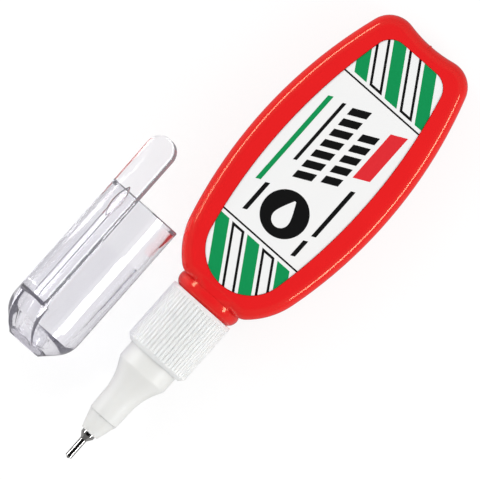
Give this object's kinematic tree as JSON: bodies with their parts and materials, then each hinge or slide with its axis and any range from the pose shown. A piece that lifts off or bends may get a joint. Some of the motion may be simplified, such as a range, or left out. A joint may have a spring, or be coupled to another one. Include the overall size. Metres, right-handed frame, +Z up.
{
  "type": "correction pen",
  "caption": "Flat squeeze-bottle correction pen with a ribbed collar, tapering nose and sprung metal tip, its clear clip cap lying beside it.",
  "frame": {"origin": "on the bottle's flat back face, under the bottle's widest station", "axes": "+Y along the pen to the bottle's tail, -Y to the tip, +Z up out of the label, +X to the right seen from above with the tail up"},
  "size_m": [0.0467, 0.1106, 0.0197],
  "materials": {
    "red_polypropylene": "gloss",
    "label_film": "satin print",
    "white_polypropylene": "satin",
    "white_polyethylene": "satin",
    "soft_seal": "matt",
    "polished_steel": "polished",
    "clear_polystyrene": "clear gloss"
  },
  "bodies": {
    "pen": {"bottle": "red_polypropylene", "front_label": "label_film", "grip_collar": "white_polypropylene", "neck_seal": "soft_seal", "nose_cone": "white_polyethylene", "tip_holder": "white_polyethylene", "metal_tip": "polished_steel", "valve_spring": "polished_steel", "spring_seat": "white_polyethylene"},
    "valve": {"valve_pin": "polished_steel"},
    "ball": {"stirring_ball": "polished_steel"},
    "cap": {"cap_shell": "clear_polystyrene", "cap_seal": "soft_seal"}
  },
  "joints": [
    {"name": "tip_press", "type": "slide", "parent": "pen", "child": "valve", "axis": [0, 1, 0], "range_m": [0, 0.0003], "stiffness_N_per_m": 150, "springref_m": -0.002, "deforming": ["valve_spring"]},
    {"name": "ball_roll", "type": "slide", "parent": "pen", "child": "ball", "axis": [0, 1, 0], "range_m": [-0.0285, 0.0285]},
    {"name": "cap_pull", "type": "slide", "parent": "pen", "child": "cap", "axis": [0, -1, 0], "range_m": [0, 0.04]}
  ]
}
